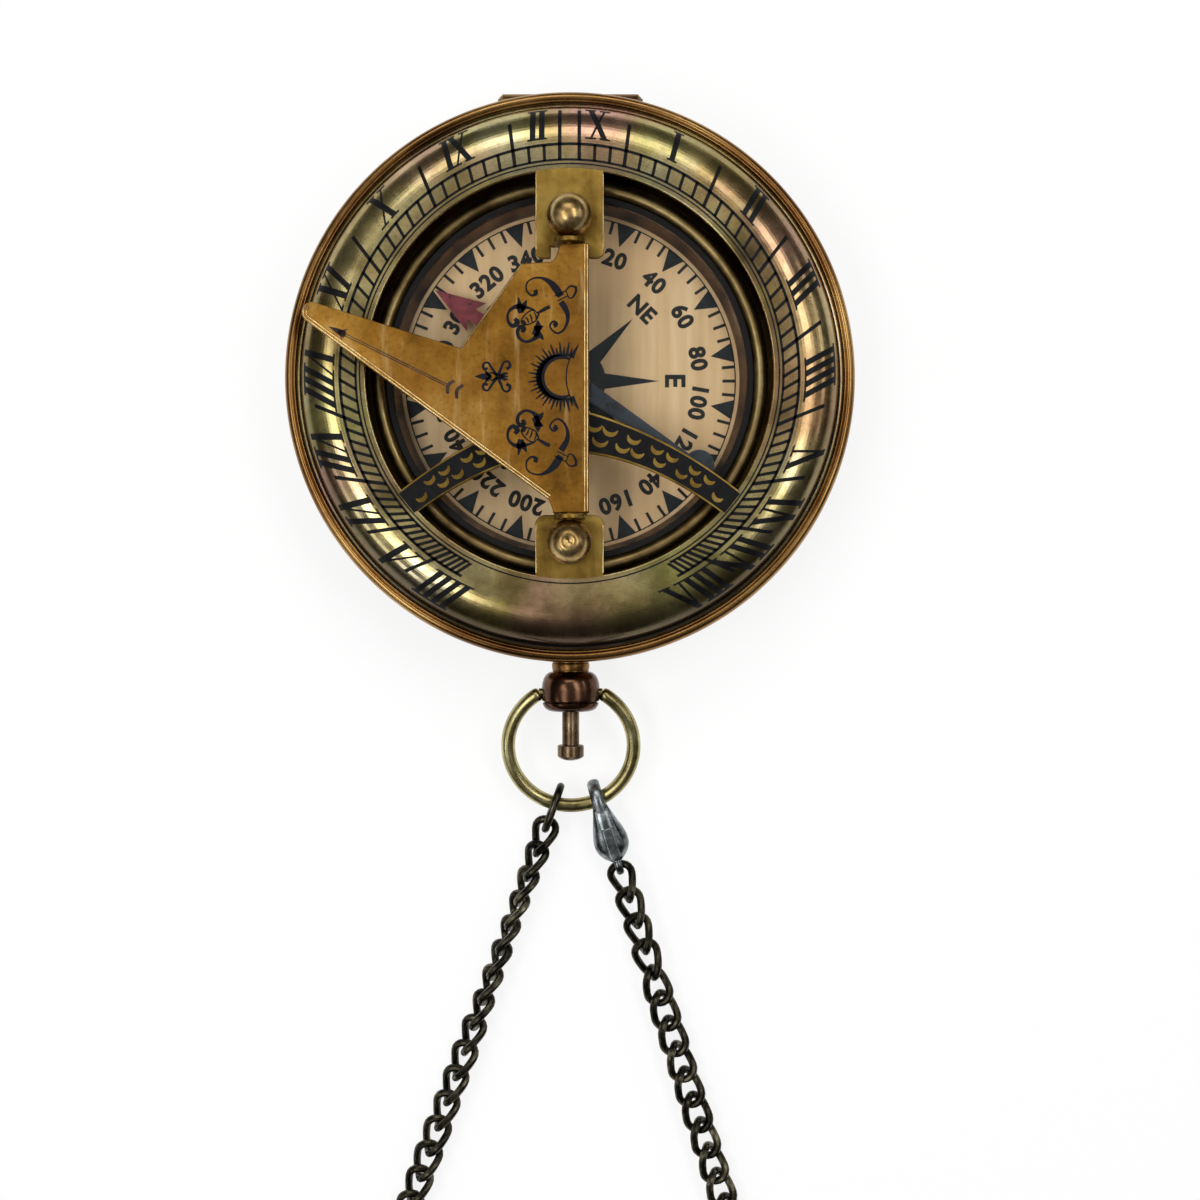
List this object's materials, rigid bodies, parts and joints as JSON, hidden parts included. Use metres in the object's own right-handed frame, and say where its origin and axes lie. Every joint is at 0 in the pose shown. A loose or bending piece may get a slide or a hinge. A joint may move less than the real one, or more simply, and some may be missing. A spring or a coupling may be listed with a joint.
{
  "type": "pocket sundial compass",
  "caption": "Round brass pocket compass with a hinged hour-ring lid, a folding gnomon, a push-button pendant with a bow, and a chain loop with a lobster clasp.",
  "frame": {"origin": "centre of the flat case back", "axes": "+Z out of the dial, +Y from the pendant to the lid's hinge, +X to the right with the pendant towards the viewer"},
  "size_m": [0.0654, 0.2024, 0.0192],
  "materials": {
    "bronze": "satin, aged",
    "copper": "satin",
    "gilt": "brushed, engraved",
    "dial_brass": "satin, engraved and filled black",
    "brass": "polished, aged",
    "olive_brass": "satin",
    "steel": "satin",
    "gunmetal": "satin, worn",
    "chain_metal": "satin, aged",
    "rubber": "matte",
    "paper": "printed",
    "glass": "clear",
    "needle_paint": "satin, red north end"
  },
  "bodies": {
    "case": {"case_back": "bronze", "case_band": "bronze", "case_knuckles": "bronze", "hinge_pin": "steel", "bowl_seat": "brass", "compass_bowl": "brass", "dial_card": "paper", "needle_post": "steel", "rehaut_ring": "brass", "compass_glass": "glass", "glass_gasket": "rubber", "bezel_ring": "brass", "pendant_neck": "copper", "pendant_ball": "bronze", "button_spring": "steel", "spring_posts": "brass", "spring_screws": "steel", "lift_spring": "steel"},
    "lid": {"lid_rim": "bronze", "hour_ring": "dial_brass", "lid_knuckle": "bronze", "lid_catch": "steel"},
    "gnomon": {"gnomon": "gilt", "pivot_ball_upper": "brass", "pivot_ball_lower": "brass"},
    "needle": {"needle_blade": "needle_paint", "needle_cap": "brass"},
    "button": {"push_pin": "bronze", "push_head": "bronze"},
    "latch": {"latch_spring": "steel"},
    "bow": {"bow": "olive_brass"},
    "chain_leads": {"chain_end_link": "chain_metal", "chain_left": "chain_metal", "chain_right": "chain_metal", "clasp_body": "gunmetal", "clasp_rivet": "gunmetal", "clasp_spring": "gunmetal"},
    "chain_loop": {"chain_loop": "chain_metal"},
    "clasp_trigger": {"clasp_trigger": "gunmetal"}
  },
  "joints": [
    {"name": "lid_hinge", "type": "hinge", "parent": "case", "child": "lid", "pos_m": [0, 0.031, 0.008], "axis": [-1, 0, 0], "range_deg": [0, 110]},
    {"name": "gnomon_fold", "type": "hinge", "parent": "lid", "child": "gnomon", "pos_m": [0, 0, 0.0168], "axis": [0, 1, 0], "range_deg": [0, 90]},
    {"name": "needle_spin", "type": "hinge", "parent": "case", "child": "needle", "pos_m": [0, 0, 0.0083], "axis": [0, 0, 1], "continuous": true},
    {"name": "button_press", "type": "slide", "parent": "case", "child": "button", "axis": [0, 1, 0], "range_m": [0, 0.0015], "stiffness_N_per_m": 300},
    {"name": "latch_swing", "type": "hinge", "parent": "case", "child": "latch", "pos_m": [-0.02361, -0.01101, 0.0052], "axis": [0, 0, 1], "range_deg": [0, 3.7]},
    {"name": "bow_swing", "type": "hinge", "parent": "case", "child": "bow", "pos_m": [0, -0.0353, 0.0056], "axis": [-1, 0, 0], "range_deg": [0, 75]},
    {"name": "lead_tilt", "type": "hinge", "parent": "bow", "child": "chain_leads", "pos_m": [0, -0.04802, 0.00257], "axis": [-1, 0, 0], "range_deg": [-123.8, 0]},
    {"name": "loop_tilt", "type": "hinge", "parent": "chain_leads", "child": "chain_loop", "pos_m": [0, -0.06746, 0.00183], "axis": [-1, 0, 0], "range_deg": [0, 48.8]},
    {"name": "trigger_pull", "type": "hinge", "parent": "chain_leads", "child": "clasp_trigger", "pos_m": [0.00443, -0.05209, 0.0019], "axis": [0.9542, 0.299, 0], "range_deg": [0, 7], "stiffness_Nm_per_rad": 0.004}
  ],
  "couplings": [
    {"joint": "latch_swing", "follows": "button_press", "rad_per_m": 42.5},
    {"joint": "lead_tilt", "follows": "bow_swing", "ratio": -1.65},
    {"joint": "loop_tilt", "follows": "bow_swing", "ratio": 0.65}
  ]
}
